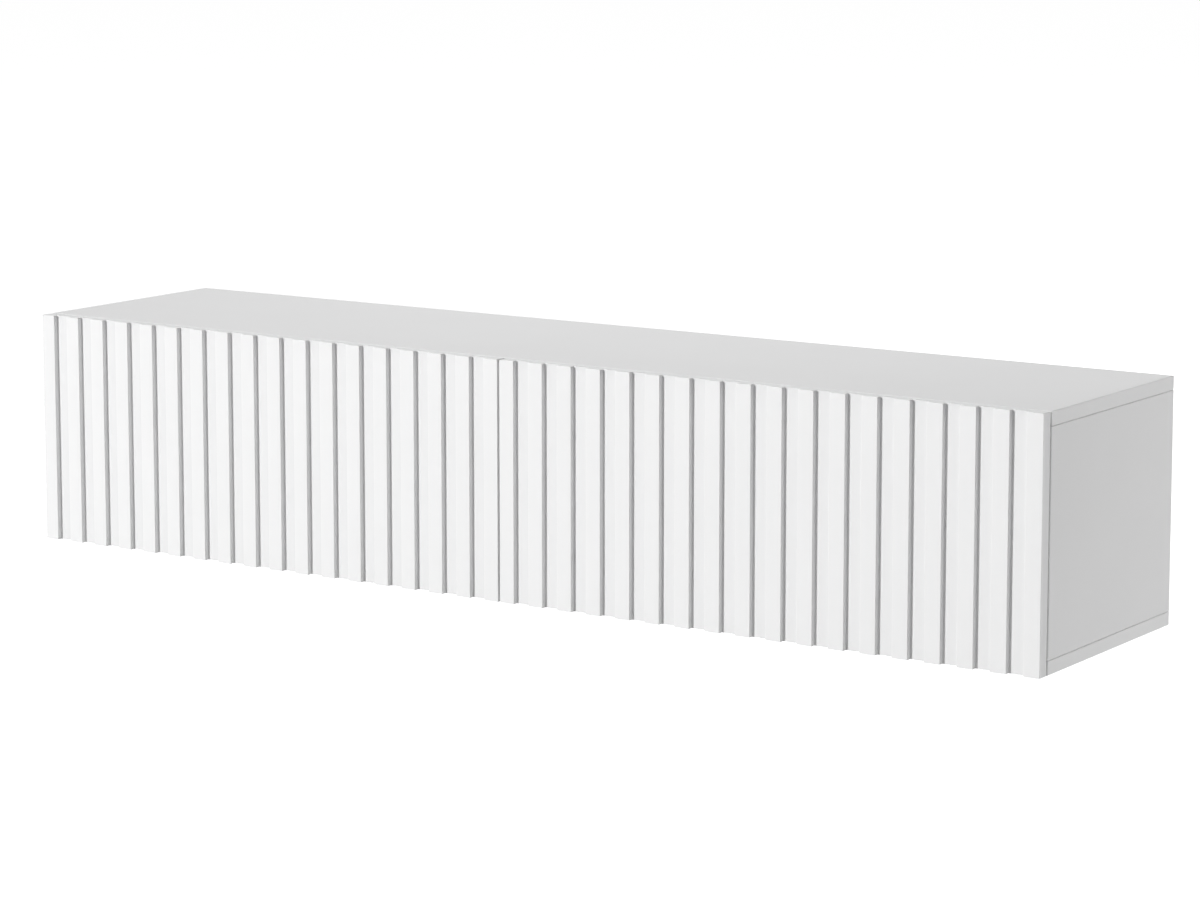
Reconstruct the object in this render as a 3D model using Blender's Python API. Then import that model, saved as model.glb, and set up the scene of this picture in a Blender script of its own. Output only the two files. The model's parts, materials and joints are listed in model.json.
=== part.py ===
"""Wall-hung media cabinet with two drop-down flaps, milled with upright ribs.

Metres, +Z up. The ribbed front faces -Y, the wall is at +Y and +X is to the viewer's right.
The origin is the middle of the footprint, level with the underside.
"""

import math

import bmesh
import bpy
from mathutils import Vector

# %% Driving sizes of the cabinet
WIDTH = 1.400
HEIGHT = 0.285
DEPTH = 0.320
BOARD = 0.016
BOARD_EDGE_RADIUS = 0.0007
JOINT_GAP = 0.0003

# %% Driving sizes of the milled flaps
FLAP_THICKNESS = 0.016
FLAP_GAP = 0.002
MEETING_GAP = 0.0028
FLAP_END_INSET = 0.0004
RIB_COUNT = 18
RIB_WIDTH = 0.0198
GROOVE_DEPTH = 0.0065
RIB_EDGE_RADIUS = 0.0006

# %% Driving sizes of the back
BACK_THICKNESS = 0.003
BACK_RECESS = 0.012
BACK_GROOVE_DEPTH = 0.006
CABLE_HOLE_RADIUS = 0.030
CABLE_HOLE_RISE = 0.060

# %% Driving sizes of the gooseneck hinges
PIN_RADIUS = 0.0018
PIN_INSET = 0.008
PIN_RISE = 0.005
EYE_RADIUS = 0.0036
ARM_WIDTH = 0.0074
ARM_THICKNESS = 0.004
ARM_REACH = 0.027
ARM_INNER_BEND = 0.003
ARM_OUTER_BEND = 0.005
HINGE_PLATE_THICKNESS = 0.002
HINGE_PLATE_WIDTH = 0.044
HINGE_PLATE_LENGTH = 0.025
HINGE_PLATE_SETBACK = 0.004
POCKET_END_RADIUS = 0.005
CHEEK = 0.0024
HOUSING_BACK = 0.0013
FLANGE_THICKNESS = 0.0016
FLANGE_WIDTH = 0.056
FLANGE_HEIGHT = 0.016
HINGE_RIB_FROM_END = 2

# %% Driving sizes of the flap stays
STAY_RADIUS = 0.120
STAY_STUD_REACH = 0.012
STAY_OPENING_ANGLE = math.radians(20)
FLAP_TRAVEL = math.radians(90)
ROD_RADIUS = 0.003
ROD_EYE_RADIUS = 0.006
ROD_EYE_THICKNESS = 0.005
ROD_STOP_RADIUS = 0.0046
ROD_STOP_LENGTH = 0.006
STUD_RADIUS = 0.0025
SWIVEL_RADIUS = 0.004
SWIVEL_DEPTH = 0.004
BLOCK_LENGTH = 0.022
BLOCK_HEIGHT = 0.013
BLOCK_WALL = 0.0015
BLOCK_OUTER_WALL = 0.003
SIDE_PLATE_THICKNESS = 0.0025
SIDE_PLATE_LENGTH = 0.048
SIDE_PLATE_HEIGHT = 0.022
BRACKET_FOOT_THICKNESS = 0.002
BRACKET_FOOT_WIDTH = 0.020
BRACKET_FOOT_LAP = 0.0035
BRACKET_FOOT_HEIGHT = 0.034
BRACKET_LUG = 0.003

# %% Driving sizes of the push latches
LATCH_HALF_WIDTH = 0.007
LATCH_AXIS_DROP = 0.0065
LATCH_LENGTH = 0.070
LATCH_END_WALL = 0.004
LATCH_EAR_WIDTH = 0.036
LATCH_EAR_LENGTH = 0.014
LATCH_EAR_THICKNESS = 0.0025
LATCH_EAR_SETBACK = 0.018
PLUNGER_RADIUS = 0.004
PLUNGER_TIP_RADIUS = 0.003
PLUNGER_TIP_LENGTH = 0.0012
STRIKE_RADIUS = 0.009
STRIKE_THICKNESS = 0.0012

# %% Driving sizes of the cabinet hangers
HANGER_WIDTH = 0.019
HANGER_HEIGHT = 0.040
HANGER_LENGTH = 0.058
HOOK_WIDTH = 0.011
HOOK_THICKNESS = 0.003
HOOK_TONGUE = 0.010
HOOK_REACH_IN = 0.042
HOOK_DROP = 0.011
HOOK_NOTCH_MARGIN = 0.003
WALL_PLATE_WIDTH = 0.040
WALL_PLATE_HEIGHT = 0.058
WALL_PLATE_THICKNESS = 0.002
WALL_PLATE_LIP = 0.014
WALL_PLATE_STEP = 0.0068

# %% Fits, small radii and smoothness
SCREW_HOLE_RADIUS = 0.0022
CORNER_RADIUS = 0.004
SOFT_RADIUS = 0.0006
OVERRUN = 0.002
ROUND_SEGMENTS = 20
HOLE_SEGMENTS = 12
ARC_STEPS = 4
BEVEL_STEPS = 2
SCREW_SPREAD_SHARE = 0.34
FOOT_SPREAD_SHARE = 0.39
WALL_SCREW_SHARES = (0.25, 0.75)
SHARP_ANGLE = math.radians(32)

# %% Places that follow from the sizes
REAR = DEPTH / 2
CARCASS_FRONT = -DEPTH / 2 + FLAP_THICKNESS + FLAP_GAP
FLAP_INNER_FACE = CARCASS_FRONT - FLAP_GAP
INNER_X = WIDTH / 2 - BOARD
FLOOR_Z = BOARD
CEILING_Z = HEIGHT - BOARD
BACK_REAR_FACE = REAR - BACK_RECESS
BACK_FRONT_FACE = BACK_REAR_FACE - BACK_THICKNESS
FLAP_WIDTH = (WIDTH - 2 * FLAP_END_INSET - MEETING_GAP) / 2
RIB_PITCH = (FLAP_WIDTH - RIB_WIDTH) / (RIB_COUNT - 1)
AXIS_Y = FLAP_INNER_FACE - PIN_INSET
AXIS_Z = PIN_RISE
ARM_UNDERSIDE = FLOOR_Z + HINGE_PLATE_THICKNESS + 2 * JOINT_GAP
ARM_TOP = ARM_UNDERSIDE + ARM_THICKNESS
CHANNEL_HALF = ARM_WIDTH / 2 + JOINT_GAP
CHANNEL_BACK = AXIS_Y - EYE_RADIUS - JOINT_GAP
CHANNEL_TOP = AXIS_Z + math.hypot(ARM_TOP - AXIS_Z, EYE_RADIUS) + 2 * JOINT_GAP
HOUSING_HALF = CHANNEL_HALF + CHEEK
HOUSING_REAR_FACE = FLAP_INNER_FACE + JOINT_GAP
HOUSING_TOP = CHANNEL_TOP + HOUSING_BACK
POCKET_FLOOR = CHANNEL_BACK - HOUSING_BACK - JOINT_GAP
STUD_ANGLE = math.asin((PIN_INSET + STAY_STUD_REACH) / STAY_RADIUS)
CHORD_SLOPE = STUD_ANGLE + STAY_OPENING_ANGLE / 2
CHORD_OPEN = 2 * STAY_RADIUS * math.sin((STAY_OPENING_ANGLE + FLAP_TRAVEL) / 2)
BLOCK_START = SIDE_PLATE_THICKNESS + 2 * JOINT_GAP
ROD_LINE = BLOCK_START + SWIVEL_DEPTH + BLOCK_WALL + ROD_RADIUS + JOINT_GAP
LATCH_AXIS_Z = CEILING_Z - LATCH_AXIS_DROP
HOOK_LINE = HANGER_WIDTH / 2 + JOINT_GAP
HOOK_TOP = CEILING_Z - HOOK_DROP


# %% Materials
def material(name, colour, roughness, metallic):
    made = bpy.data.materials.new(name)
    made.use_nodes = True
    shader = made.node_tree.nodes["Principled BSDF"]
    shader.inputs["Base Color"].default_value = (*colour, 1)
    shader.inputs["Roughness"].default_value = roughness
    shader.inputs["Metallic"].default_value = metallic
    return made


def clear_scene():
    for old in list(bpy.data.objects):
        bpy.data.objects.remove(old, do_unlink=True)


clear_scene()
WHITE_BOARD = material("white_board", (0.86, 0.86, 0.86), 0.55, 0)
WHITE_LACQUER = material("white_lacquer", (0.90, 0.90, 0.90), 0.45, 0)
WHITE_HARDBOARD = material("white_hardboard", (0.80, 0.80, 0.79), 0.70, 0)
ZINC = material("zinc", (0.62, 0.63, 0.64), 0.38, 1)
STEEL = material("steel", (0.56, 0.57, 0.58), 0.30, 1)
GREY_PLASTIC = material("grey_plastic", (0.55, 0.56, 0.57), 0.50, 0)
WHITE_PLASTIC = material("white_plastic", (0.84, 0.84, 0.83), 0.45, 0)


# %% Outlines: closed lists of (u, v) points
def arc(centre, radius, start, end, steps=ARC_STEPS):
    """Points on an arc from start to end, in degrees."""
    points = []
    for step in range(steps + 1):
        angle = math.radians(start + (end - start) * step / steps)
        points.append((centre[0] + radius * math.cos(angle), centre[1] + radius * math.sin(angle)))
    return points


def circle(centre, radius, segments=ROUND_SEGMENTS):
    return arc(centre, radius, 0, 360 - 360 / segments, segments - 1)


def rectangle(low, high):
    return [(low[0], low[1]), (high[0], low[1]), (high[0], high[1]), (low[0], high[1])]


def rounded_rectangle(low, high, radius):
    points = arc((low[0] + radius, low[1] + radius), radius, 180, 270)
    points += arc((high[0] - radius, low[1] + radius), radius, 270, 360)
    points += arc((high[0] - radius, high[1] - radius), radius, 0, 90)
    points += arc((low[0] + radius, high[1] - radius), radius, 90, 180)
    return points


def centred(middle, width, height):
    """The low and high corners of a rectangle about its middle."""
    low = (middle[0] - width / 2, middle[1] - height / 2)
    high = (middle[0] + width / 2, middle[1] + height / 2)
    return low, high


# %% Solids from outlines and from turned profiles
def to_world(axis, u, v, along):
    """u and v are the two other axes, in X, Y, Z order."""
    if axis == "X":
        return Vector((along, u, v))
    if axis == "Y":
        return Vector((u, along, v))
    return Vector((u, v, along))


def prism(outline, axis, start, end):
    """An outline drawn out along an axis, closed at both ends."""
    mesh = bmesh.new()
    face = mesh.faces.new([mesh.verts.new(to_world(axis, u, v, start)) for u, v in outline])
    drawn = bmesh.ops.extrude_face_region(mesh, geom=[face])
    moved = [item for item in drawn["geom"] if isinstance(item, bmesh.types.BMVert)]
    bmesh.ops.translate(mesh, verts=moved, vec=to_world(axis, 0, 0, end - start))
    bmesh.ops.recalc_face_normals(mesh, faces=mesh.faces[:])
    return mesh


def turned(profile, axis, centre, segments=ROUND_SEGMENTS):
    """A profile of (radius, along) turned about a line through centre, which is (u, v)."""
    mesh = bmesh.new()
    rings = []
    for radius, along in profile:
        outline = circle(centre, radius, segments)
        rings.append([mesh.verts.new(to_world(axis, u, v, along)) for u, v in outline])
    for lower, upper in zip(rings, rings[1:]):
        for index in range(segments):
            after = (index + 1) % segments
            mesh.faces.new((lower[index], lower[after], upper[after], upper[index]))
    mesh.faces.new(rings[0])
    mesh.faces.new(rings[-1])
    bmesh.ops.recalc_face_normals(mesh, faces=mesh.faces[:])
    return mesh


def round_bar(radius, axis, centre, start, end, chamfer=0):
    """A plain round bar, with a small chamfer at each end when one is given."""
    if not chamfer:
        return turned([(radius, start), (radius, end)], axis, centre)
    turn = 1 if end > start else -1
    profile = [(radius - chamfer, start), (radius, start + turn * chamfer)]
    profile += [(radius, end - turn * chamfer), (radius - chamfer, end)]
    return turned(profile, axis, centre)


def screw_hole(axis, centre, start, end):
    """A cutter for a screw hole that runs right through from start to end."""
    profile = [(SCREW_HOLE_RADIUS, start - OVERRUN), (SCREW_HOLE_RADIUS, end + OVERRUN)]
    return turned(profile, axis, centre, HOLE_SEGMENTS)


def round_convex_edges(mesh, radius, steps=BEVEL_STEPS):
    """Rounds the outer edges and leaves the inner corners of grooves sharp."""
    sharp = [edge for edge in mesh.edges if edge.is_convex and edge.calc_face_angle() > SHARP_ANGLE]
    bmesh.ops.bevel(mesh, geom=sharp, offset=radius, segments=steps, profile=0.5, affect="EDGES")
    return mesh


# %% Objects, helpers and joins
def node(name, mesh, finish, origin=(0, 0, 0), parent=None):
    """One named object, with its origin where the piece turns or sits."""
    bmesh.ops.translate(mesh, verts=mesh.verts, vec=-Vector(origin))
    data = bpy.data.meshes.new(name)
    mesh.to_mesh(data)
    mesh.free()
    data.materials.append(finish)
    made = bpy.data.objects.new(name, data)
    bpy.context.scene.collection.objects.link(made)
    made.location = Vector(origin)
    if parent is not None:
        made.parent = parent
        made.location = Vector(origin) - parent.location
    data.shade_smooth()
    data.set_sharp_from_angle(angle=SHARP_ANGLE)
    return made


def pivot(name, place):
    """An empty on a joint's axis, which carries the pieces that move together."""
    made = bpy.data.objects.new(name, None)
    bpy.context.scene.collection.objects.link(made)
    made.location = Vector(place)
    return made


def helper(mesh, owner, index):
    made = node(f"{owner.name}_tool_{index}", mesh, owner.data.materials[0])
    made.hide_render = True
    made.display_type = "WIRE"
    return made


def combine(owner, mesh, operation):
    """Cuts a mesh from its owner, or joins it on, with an exact Boolean."""
    index = len(owner.modifiers) + 1
    modifier = owner.modifiers.new(f"{operation.lower()}_{index}", "BOOLEAN")
    modifier.operation = operation
    modifier.solver = "EXACT"
    modifier.object = helper(mesh, owner, index)


def cut(owner, *meshes):
    for mesh in meshes:
        combine(owner, mesh, "DIFFERENCE")


def join(owner, *meshes):
    for mesh in meshes:
        combine(owner, mesh, "UNION")


# %% Carcass boards
def board(name, low, high, finish=WHITE_BOARD):
    """A cut panel with lightly rounded edges; low and high are its corners."""
    outline = rectangle((low[0], low[1]), (high[0], high[1]))
    mesh = prism(outline, "Z", low[2], high[2])
    return node(name, round_convex_edges(mesh, BOARD_EDGE_RADIUS, 1), finish)


def back_groove_band():
    """The front and rear limits of the groove that the back panel slides in."""
    return BACK_FRONT_FACE - JOINT_GAP, BACK_REAR_FACE + JOINT_GAP


def groove_across(z_low, z_high):
    """Stops short of the panel's ends, so the edging there stays whole."""
    front, rear = back_groove_band()
    end = INNER_X + BACK_GROOVE_DEPTH
    return prism(rectangle((-end, front), (end, rear)), "Z", z_low, z_high)


def groove_upright(side):
    front, rear = back_groove_band()
    inner, outer = side * (INNER_X - OVERRUN), side * (INNER_X + BACK_GROOVE_DEPTH)
    outline = rectangle((min(inner, outer), front), (max(inner, outer), rear))
    return prism(outline, "Z", FLOOR_Z - OVERRUN, CEILING_Z + OVERRUN)


def carcass_boards():
    half = WIDTH / 2
    bottom = board("bottom_panel", (-half, CARCASS_FRONT, 0), (half, REAR, FLOOR_Z))
    cut(bottom, groove_across(FLOOR_Z - BACK_GROOVE_DEPTH, FLOOR_Z + OVERRUN))
    top = board("top_panel", (-half, CARCASS_FRONT, CEILING_Z), (half, REAR, HEIGHT))
    cut(top, groove_across(CEILING_Z - OVERRUN, CEILING_Z + BACK_GROOVE_DEPTH))
    foot, head = FLOOR_Z + JOINT_GAP, CEILING_Z - JOINT_GAP
    left = board("left_side_panel", (-half, CARCASS_FRONT, foot), (-INNER_X, REAR, head))
    cut(left, groove_upright(-1))
    right = board("right_side_panel", (INNER_X, CARCASS_FRONT, foot), (half, REAR, head))
    cut(right, groove_upright(1))
    rear = BACK_FRONT_FACE - JOINT_GAP
    board("centre_partition", (-BOARD / 2, CARCASS_FRONT, foot), (BOARD / 2, rear, head))


def cable_hole_x(side):
    return side * (INNER_X + BOARD / 2) / 2


def back_panel():
    """Hardboard in grooves, with a round cable hole for each bay and a notch for each hook."""
    reach = BACK_GROOVE_DEPTH - JOINT_GAP
    low = (-INNER_X - reach, BACK_FRONT_FACE, FLOOR_Z - reach)
    high = (INNER_X + reach, BACK_REAR_FACE, CEILING_Z + reach)
    outline = rectangle((low[0], low[2]), (high[0], high[2]))
    panel = node("back_panel", prism(outline, "Y", low[1], high[1]), WHITE_HARDBOARD)
    start, end = low[1] - OVERRUN, high[1] + OVERRUN
    for side in (-1, 1):
        place = (cable_hole_x(side), FLOOR_Z + CABLE_HOLE_RISE)
        cut(panel, prism(circle(place, CABLE_HOLE_RADIUS, 2 * ROUND_SEGMENTS), "Y", start, end))
        middle = (side * (INNER_X - HOOK_LINE), HOOK_TOP - HOOK_THICKNESS / 2)
        size = (HOOK_WIDTH + 2 * HOOK_NOTCH_MARGIN, HOOK_THICKNESS + 2 * HOOK_NOTCH_MARGIN)
        cut(panel, prism(rounded_rectangle(*centred(middle, *size), HOOK_NOTCH_MARGIN), "Y", start, end))


# %% Milled flap boards
def flap_left_end(side):
    """X of the left end of the left flap (side -1) or of the right flap (side 1)."""
    return -WIDTH / 2 + FLAP_END_INSET if side < 0 else MEETING_GAP / 2


def rib_middle(side, index):
    return flap_left_end(side) + RIB_WIDTH / 2 + index * RIB_PITCH


def flap_outline(side):
    """Plan of the flap: a flat inner face, and ribs that stand out of the front."""
    left = flap_left_end(side)
    crest = FLAP_INNER_FACE - FLAP_THICKNESS
    floor = crest + GROOVE_DEPTH
    points = [(left + FLAP_WIDTH, FLAP_INNER_FACE), (left, FLAP_INNER_FACE)]
    for index in range(RIB_COUNT):
        start = left + index * RIB_PITCH
        if index:
            points.append((start, floor))
        points += [(start, crest), (start + RIB_WIDTH, crest)]
        if index < RIB_COUNT - 1:
            points.append((start + RIB_WIDTH, floor))
    return points


def hinge_pocket(middle):
    """A routed slot, open at the flap's lower edge, with round upper corners."""
    half = HOUSING_HALF + JOINT_GAP
    top = HOUSING_TOP + JOINT_GAP
    outline = [(middle - half, -OVERRUN), (middle + half, -OVERRUN)]
    outline += arc((middle + half - POCKET_END_RADIUS, top - POCKET_END_RADIUS), POCKET_END_RADIUS, 0, 90)
    outline += arc((middle - half + POCKET_END_RADIUS, top - POCKET_END_RADIUS), POCKET_END_RADIUS, 90, 180)
    return prism(outline, "Y", POCKET_FLOOR, FLAP_INNER_FACE + OVERRUN)


def hinge_middles(side):
    """X of a flap's outer and inner hinge, each behind the middle of a rib."""
    first = rib_middle(side, HINGE_RIB_FROM_END)
    last = rib_middle(side, RIB_COUNT - 1 - HINGE_RIB_FROM_END)
    return (first, last) if side < 0 else (last, first)


def flap_board(word, side, axis):
    mesh = prism(flap_outline(side), "Z", 0, HEIGHT)
    round_convex_edges(mesh, RIB_EDGE_RADIUS)
    origin = (flap_left_end(side) + FLAP_WIDTH / 2, AXIS_Y, AXIS_Z)
    made = node(f"{word}_flap_board", mesh, WHITE_LACQUER, origin, axis)
    cut(made, *[hinge_pocket(middle) for middle in hinge_middles(side)])


# %% Gooseneck hinges
def hinge_arm(name, middle):
    """Side view: an eye round the pin, a neck over the bottom panel's edge and a flat tail."""
    tail = CARCASS_FRONT + ARM_REACH
    inner, outer = AXIS_Y + EYE_RADIUS, AXIS_Y - EYE_RADIUS
    outline = arc((AXIS_Y, AXIS_Z), EYE_RADIUS, 180, 360, 2 * ARC_STEPS)
    outline += arc((inner + ARM_INNER_BEND, ARM_UNDERSIDE - ARM_INNER_BEND), ARM_INNER_BEND, 180, 90)
    outline += [(tail, ARM_UNDERSIDE), (tail, ARM_TOP)]
    outline += arc((outer + ARM_OUTER_BEND, ARM_TOP - ARM_OUTER_BEND), ARM_OUTER_BEND, 90, 180)
    start, end = middle - ARM_WIDTH / 2, middle + ARM_WIDTH / 2
    made = node(name, prism(outline, "X", start, end), ZINC)
    hole = PIN_RADIUS + JOINT_GAP
    cut(made, round_bar(hole, "X", (AXIS_Y, AXIS_Z), start - OVERRUN, end + OVERRUN))
    screw = (middle, hinge_plate_middle_y())
    cut(made, screw_hole("Z", screw, ARM_UNDERSIDE, ARM_TOP))


def hinge_plate_middle_y():
    return CARCASS_FRONT + HINGE_PLATE_SETBACK + HINGE_PLATE_LENGTH / 2


def hinge_plate(name, middle):
    """The plate under the arm's tail, screwed to the bottom panel."""
    place = (middle, hinge_plate_middle_y())
    corners = centred(place, HINGE_PLATE_WIDTH, HINGE_PLATE_LENGTH)
    start = FLOOR_Z + JOINT_GAP
    end = start + HINGE_PLATE_THICKNESS
    made = node(name, prism(rounded_rectangle(*corners, CORNER_RADIUS), "Z", start, end), STEEL)
    for turn in (-1, 1):
        screw = (middle + turn * HINGE_PLATE_WIDTH * SCREW_SPREAD_SHARE, place[1])
        cut(made, screw_hole("Z", screw, start, end))


def hinge_housing(name, middle, axis):
    """A channel let into the flap, with a winged flange on the inner face."""
    seat = HOUSING_REAR_FACE
    flange_rear = seat + FLANGE_THICKNESS
    low = (middle - HOUSING_HALF, JOINT_GAP)
    high = (middle + HOUSING_HALF, HOUSING_TOP)
    corner = POCKET_END_RADIUS - JOINT_GAP
    outline = [low, (high[0], low[1])]
    outline += arc((high[0] - corner, high[1] - corner), corner, 0, 90)
    outline += arc((low[0] + corner, high[1] - corner), corner, 90, 180)
    origin = (middle, AXIS_Y, AXIS_Z)
    mesh = prism(outline, "Y", POCKET_FLOOR + JOINT_GAP, flange_rear)
    made = node(name, mesh, ZINC, origin, axis)
    wing_low = (middle - FLANGE_WIDTH / 2, FLOOR_Z + 2 * JOINT_GAP)
    wing_high = (middle + FLANGE_WIDTH / 2, wing_low[1] + FLANGE_HEIGHT)
    step = rectangle((FLAP_INNER_FACE, -OVERRUN), (flange_rear + OVERRUN, wing_low[1] + 2 * JOINT_GAP))
    cut(made, prism(step, "X", low[0] - OVERRUN, high[0] + OVERRUN))
    join(made, prism(rounded_rectangle(wing_low, wing_high, CORNER_RADIUS), "Y", seat, flange_rear))
    channel = rectangle((CHANNEL_BACK, -OVERRUN), (flange_rear + OVERRUN, CHANNEL_TOP))
    cut(made, prism(channel, "X", middle - CHANNEL_HALF, middle + CHANNEL_HALF))
    reach = HOUSING_HALF + OVERRUN
    hole = PIN_RADIUS + JOINT_GAP
    cut(made, round_bar(hole, "X", (AXIS_Y, AXIS_Z), middle - reach, middle + reach))
    for turn in (-1, 1):
        screw = (middle + turn * FLANGE_WIDTH * SCREW_SPREAD_SHARE, (wing_low[1] + wing_high[1]) / 2)
        cut(made, screw_hole("Y", screw, seat, flange_rear))


def hinge_pin(name, middle, axis):
    half = HOUSING_HALF - JOINT_GAP
    mesh = round_bar(PIN_RADIUS, "X", (AXIS_Y, AXIS_Z), middle - half, middle + half, SOFT_RADIUS)
    node(name, mesh, STEEL, (middle, AXIS_Y, AXIS_Z), axis)


def hinges(word, side, axis):
    for place, middle in zip(("outer", "inner"), hinge_middles(side)):
        stem = f"{word}_flap_{place}_hinge"
        hinge_arm(f"{stem}_arm", middle)
        hinge_plate(f"{stem}_plate", middle)
        hinge_housing(f"{stem}_housing", middle, axis)
        hinge_pin(f"{stem}_pin", middle, axis)


# %% Sliding stays
# The stud on the flap and the swivel on the side panel lie on one circle about the hinge axis.
# The rod between them is a chord of it, so it turns through exactly half the flap's angle.
def on_stay_circle(angle):
    """A point of the circle, at an angle from upright towards the wall."""
    return AXIS_Y + STAY_RADIUS * math.sin(angle), AXIS_Z + STAY_RADIUS * math.cos(angle)


def stay_x(side, offset):
    """X at a distance from the side panel's inner face, towards the middle."""
    return side * (INNER_X - offset)


def across(side, near, far):
    """The low and high X of something between two distances from the side panel."""
    return sorted((stay_x(side, near), stay_x(side, far)))


def tilt(made):
    """Lays a piece drawn along +Y on the chord from the stud back to the swivel."""
    made.rotation_euler = (-CHORD_SLOPE, 0, 0)


def tilted_tools(made, place):
    """Puts a piece's Boolean tools, drawn about the origin, where the piece is."""
    for modifier in made.modifiers:
        modifier.object.location = Vector(place)
        modifier.object.rotation_euler = (-CHORD_SLOPE, 0, 0)


def stay_side_plate(word, side):
    swivel = on_stay_circle(STUD_ANGLE + STAY_OPENING_ANGLE)
    start, end = across(side, JOINT_GAP, JOINT_GAP + SIDE_PLATE_THICKNESS)
    corners = centred(swivel, SIDE_PLATE_LENGTH, SIDE_PLATE_HEIGHT)
    outline = rounded_rectangle(*corners, CORNER_RADIUS)
    made = node(f"{word}_stay_side_plate", prism(outline, "X", start, end), STEEL)
    root, tip = across(side, JOINT_GAP + SIDE_PLATE_THICKNESS / 2, BLOCK_START + SWIVEL_DEPTH - JOINT_GAP)
    join(made, round_bar(SWIVEL_RADIUS, "X", swivel, root, tip))
    for turn in (-1, 1):
        screw = (swivel[0] + turn * SIDE_PLATE_LENGTH * SCREW_SPREAD_SHARE, swivel[1])
        cut(made, screw_hole("X", screw, start, end))


def stay_brake_block(word, side):
    """Turns on the side plate's stud; the rod slides through it."""
    swivel = on_stay_circle(STUD_ANGLE + STAY_OPENING_ANGLE)
    place = (stay_x(side, ROD_LINE), *swivel)
    far = ROD_LINE + ROD_RADIUS + JOINT_GAP + BLOCK_OUTER_WALL
    start, end = sorted((side * (ROD_LINE - BLOCK_START), side * (ROD_LINE - far)))
    outline = rounded_rectangle(*centred((0, 0), BLOCK_LENGTH, BLOCK_HEIGHT), CORNER_RADIUS)
    mesh = round_convex_edges(prism(outline, "X", start, end), SOFT_RADIUS)
    made = node(f"{word}_stay_brake_block", mesh, GREY_PLASTIC)
    made.location = Vector(place)
    tilt(made)
    reach = BLOCK_LENGTH / 2 + OVERRUN
    cut(made, round_bar(ROD_RADIUS + JOINT_GAP, "Y", (0, 0), -reach, reach))
    mouth = side * (ROD_LINE - BLOCK_START + OVERRUN)
    depth = side * (ROD_LINE - BLOCK_START - SWIVEL_DEPTH)
    cut(made, round_bar(SWIVEL_RADIUS + JOINT_GAP, "X", (0, 0), *sorted((mouth, depth))))
    tilted_tools(made, place)


def stay_rod(word, side, axis):
    """An eye on the flap's stud, a plain rod and an end stop behind the block."""
    stud = on_stay_circle(STUD_ANGLE)
    place = (stay_x(side, ROD_LINE), *stud)
    stop = CHORD_OPEN + BLOCK_LENGTH / 2 + JOINT_GAP
    end = stop + ROD_STOP_LENGTH
    start = ROD_EYE_RADIUS - ROD_RADIUS
    profile = [(ROD_RADIUS, start), (ROD_RADIUS, stop), (ROD_STOP_RADIUS, stop)]
    profile += [(ROD_STOP_RADIUS, end - SOFT_RADIUS), (ROD_STOP_RADIUS - SOFT_RADIUS, end)]
    made = node(f"{word}_stay_rod", turned(profile, "Y", (0, 0)), STEEL)
    half = ROD_EYE_THICKNESS / 2
    join(made, round_bar(ROD_EYE_RADIUS, "X", (0, 0), -half, half, SOFT_RADIUS))
    reach = ROD_RADIUS + OVERRUN
    cut(made, round_bar(STUD_RADIUS + JOINT_GAP, "X", (0, 0), -reach, reach))
    tilt(made)
    tilted_tools(made, place)
    made.parent = axis
    made.location = Vector(place) - axis.location


def stay_flap_bracket(word, side, axis):
    """A foot on the flap's inner face, with a lug beside the rod's eye and a stud through it.

    The foot laps a little under the rod's side of the lug, and its screws are on the free side.
    """
    stud = on_stay_circle(STUD_ANGLE)
    near = ROD_LINE + max(ROD_EYE_THICKNESS / 2, ROD_RADIUS) + 2 * JOINT_GAP
    far = near + BRACKET_LUG
    foot_far = near - BRACKET_FOOT_LAP + BRACKET_FOOT_WIDTH
    foot = across(side, near - BRACKET_FOOT_LAP, foot_far)
    foot_middle = (sum(foot) / 2, stud[1])
    corners = centred(foot_middle, BRACKET_FOOT_WIDTH, BRACKET_FOOT_HEIGHT)
    seat = FLAP_INNER_FACE + JOINT_GAP
    mesh = prism(rounded_rectangle(*corners, CORNER_RADIUS), "Y", seat, seat + BRACKET_FOOT_THICKNESS)
    made = node(f"{word}_stay_flap_bracket", mesh, ZINC, (stay_x(side, ROD_LINE), *stud), axis)
    root = seat + BRACKET_FOOT_THICKNESS / 2
    outline = [(root, stud[1] + 2 * ROD_EYE_RADIUS), (root, stud[1] - 2 * ROD_EYE_RADIUS)]
    outline += arc(stud, ROD_EYE_RADIUS, -60, 60, 2 * ARC_STEPS)
    tip = ROD_LINE - ROD_EYE_THICKNESS / 2 - 2 * JOINT_GAP
    join(made, prism(outline, "X", *across(side, near, far)))
    join(made, round_bar(STUD_RADIUS, "X", stud, *across(side, tip, near + BRACKET_LUG / 2)))
    for turn in (-1, 1):
        screw = (stay_x(side, (far + foot_far) / 2), stud[1] + turn * BRACKET_FOOT_HEIGHT * FOOT_SPREAD_SHARE)
        cut(made, screw_hole("Y", screw, seat, seat + BRACKET_FOOT_THICKNESS))


# %% Push latches
def latch_x(side):
    return flap_left_end(side) + FLAP_WIDTH / 2


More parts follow.
